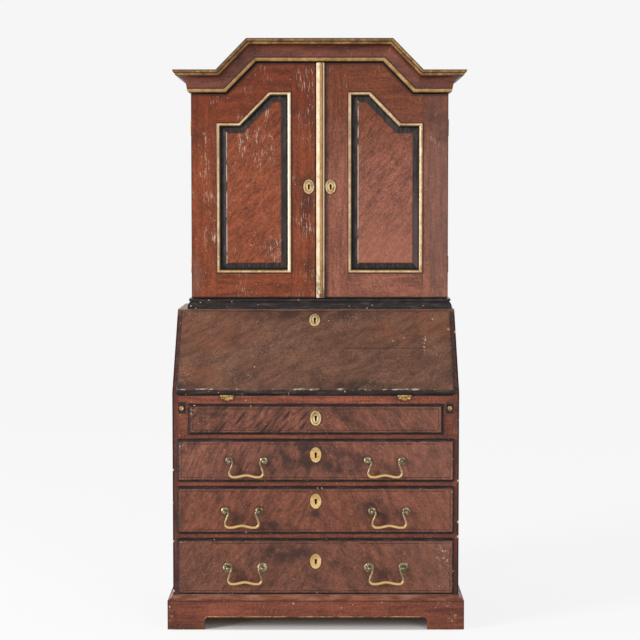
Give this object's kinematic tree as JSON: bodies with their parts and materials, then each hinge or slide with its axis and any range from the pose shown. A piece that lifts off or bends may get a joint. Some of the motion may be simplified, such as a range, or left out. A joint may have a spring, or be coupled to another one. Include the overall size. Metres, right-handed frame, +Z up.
{
  "type": "escritoire",
  "caption": "Writing cabinet with a sloping fall over lipped drawers with bail handles, and a panelled cupboard above under a cornice with broken slopes.",
  "frame": {"origin": "on the floor under the middle of the bureau, half way between its back and its handles", "axes": "+Z up, -Y out of the drawer fronts, +X to the right as seen from the front"},
  "size_m": [0.9675, 0.5314, 1.901],
  "materials": {
    "mahogany_paint": "worn oil paint grained as mahogany",
    "black_paint": "chipped black paint",
    "gilding": "aged gilding",
    "bare_wood": "bare aged pine",
    "brass": "dulled cast brass"
  },
  "bodies": {
    "carcase": {"bureau_left_side": "mahogany_paint", "bureau_right_side": "mahogany_paint", "bureau_top": "mahogany_paint", "bureau_back": "bare_wood", "bureau_bottom": "bare_wood", "writing_bed": "mahogany_paint", "drawer_framing": "mahogany_paint", "loper_guides": "mahogany_paint", "plinth_front": "mahogany_paint", "plinth_returns": "mahogany_paint", "waist_moulding": "black_paint", "pigeonhole_boards": "bare_wood", "cabinet_left_side": "mahogany_paint", "cabinet_right_side": "mahogany_paint", "cabinet_back": "bare_wood", "cabinet_bottom": "bare_wood", "cabinet_roof": "bare_wood", "cabinet_shelves": "bare_wood", "cornice": "mahogany_paint", "fall_hinge_bed_leaves": "brass", "door_hinge_case_leaves": "brass"},
    "left_door": {"left_door_frame": "mahogany_paint", "left_door_panel": "mahogany_paint", "left_door_bead": "gilding", "left_door_keyhole_plate": "brass", "left_door_hinge_leaves": "brass"},
    "right_door": {"right_door_frame": "mahogany_paint", "right_door_panel": "mahogany_paint", "right_door_bead": "gilding", "right_door_lock": "brass", "right_door_hinge_leaves": "brass", "right_door_astragal": "gilding"},
    "fall": {"fall_board": "mahogany_paint", "fall_lock": "brass", "fall_hinge_leaves": "brass"},
    "left_loper": {"left_loper": "black_paint"},
    "right_loper": {"right_loper": "black_paint"},
    "left_small_drawer": {"left_small_drawer": "bare_wood"},
    "right_small_drawer": {"right_small_drawer": "bare_wood"},
    "frieze_drawer": {"frieze_drawer_front": "mahogany_paint", "frieze_drawer_box": "bare_wood", "frieze_drawer_lock": "brass"},
    "top_drawer": {"top_drawer_front": "mahogany_paint", "top_drawer_box": "bare_wood", "top_drawer_lock": "brass", "top_drawer_handle_posts": "brass"},
    "top_drawer_left_bail": {"top_drawer_left_bail": "brass"},
    "top_drawer_right_bail": {"top_drawer_right_bail": "brass"},
    "middle_drawer": {"middle_drawer_front": "mahogany_paint", "middle_drawer_box": "bare_wood", "middle_drawer_lock": "brass", "middle_drawer_handle_posts": "brass"},
    "middle_drawer_left_bail": {"middle_drawer_left_bail": "brass"},
    "middle_drawer_right_bail": {"middle_drawer_right_bail": "brass"},
    "bottom_drawer": {"bottom_drawer_front": "mahogany_paint", "bottom_drawer_box": "bare_wood", "bottom_drawer_lock": "brass", "bottom_drawer_handle_posts": "brass"},
    "bottom_drawer_left_bail": {"bottom_drawer_left_bail": "brass"},
    "bottom_drawer_right_bail": {"bottom_drawer_right_bail": "brass"}
  },
  "joints": [
    {"name": "left_door_hinge", "type": "hinge", "parent": "carcase", "child": "left_door", "pos_m": [-0.413, 0.01515, 1.0495], "axis": [0, 0, -1], "range_deg": [0, 165]},
    {"name": "right_door_hinge", "type": "hinge", "parent": "carcase", "child": "right_door", "pos_m": [0.437, 0.01515, 1.0495], "axis": [0, 0, 1], "range_deg": [0, 165]},
    {"name": "fall_hinge", "type": "hinge", "parent": "carcase", "child": "fall", "pos_m": [0, -0.23425, 0.75], "axis": [1, 0, 0], "range_deg": [0, 129.5]},
    {"name": "left_loper_slide", "type": "slide", "parent": "carcase", "child": "left_loper", "axis": [0, -1, 0], "range_m": [0, 0.3]},
    {"name": "right_loper_slide", "type": "slide", "parent": "carcase", "child": "right_loper", "axis": [0, -1, 0], "range_m": [0, 0.3]},
    {"name": "frieze_drawer_slide", "type": "slide", "parent": "carcase", "child": "frieze_drawer", "axis": [0, -1, 0], "range_m": [0, 0.34]},
    {"name": "top_drawer_slide", "type": "slide", "parent": "carcase", "child": "top_drawer", "axis": [0, -1, 0], "range_m": [0, 0.34]},
    {"name": "middle_drawer_slide", "type": "slide", "parent": "carcase", "child": "middle_drawer", "axis": [0, -1, 0], "range_m": [0, 0.34]},
    {"name": "bottom_drawer_slide", "type": "slide", "parent": "carcase", "child": "bottom_drawer", "axis": [0, -1, 0], "range_m": [0, 0.34]},
    {"name": "left_small_drawer_slide", "type": "slide", "parent": "carcase", "child": "left_small_drawer", "axis": [0, -1, 0], "range_m": [0, 0.14]},
    {"name": "right_small_drawer_slide", "type": "slide", "parent": "carcase", "child": "right_small_drawer", "axis": [0, -1, 0], "range_m": [0, 0.14]},
    {"name": "top_drawer_left_bail_swing", "type": "hinge", "parent": "top_drawer", "child": "top_drawer_left_bail", "pos_m": [-0.221, -0.25925, 0.543], "axis": [-1, 0, 0], "range_deg": [0, 110]},
    {"name": "top_drawer_right_bail_swing", "type": "hinge", "parent": "top_drawer", "child": "top_drawer_right_bail", "pos_m": [0.221, -0.25925, 0.543], "axis": [-1, 0, 0], "range_deg": [0, 110]},
    {"name": "middle_drawer_left_bail_swing", "type": "hinge", "parent": "middle_drawer", "child": "middle_drawer_left_bail", "pos_m": [-0.235, -0.25925, 0.381], "axis": [-1, 0, 0], "range_deg": [0, 110]},
    {"name": "middle_drawer_right_bail_swing", "type": "hinge", "parent": "middle_drawer", "child": "middle_drawer_right_bail", "pos_m": [0.235, -0.25925, 0.381], "axis": [-1, 0, 0], "range_deg": [0, 110]},
    {"name": "bottom_drawer_left_bail_swing", "type": "hinge", "parent": "bottom_drawer", "child": "bottom_drawer_left_bail", "pos_m": [-0.226, -0.25925, 0.199], "axis": [-1, 0, 0], "range_deg": [0, 110]},
    {"name": "bottom_drawer_right_bail_swing", "type": "hinge", "parent": "bottom_drawer", "child": "bottom_drawer_right_bail", "pos_m": [0.226, -0.25925, 0.199], "axis": [-1, 0, 0], "range_deg": [0, 110]}
  ]
}
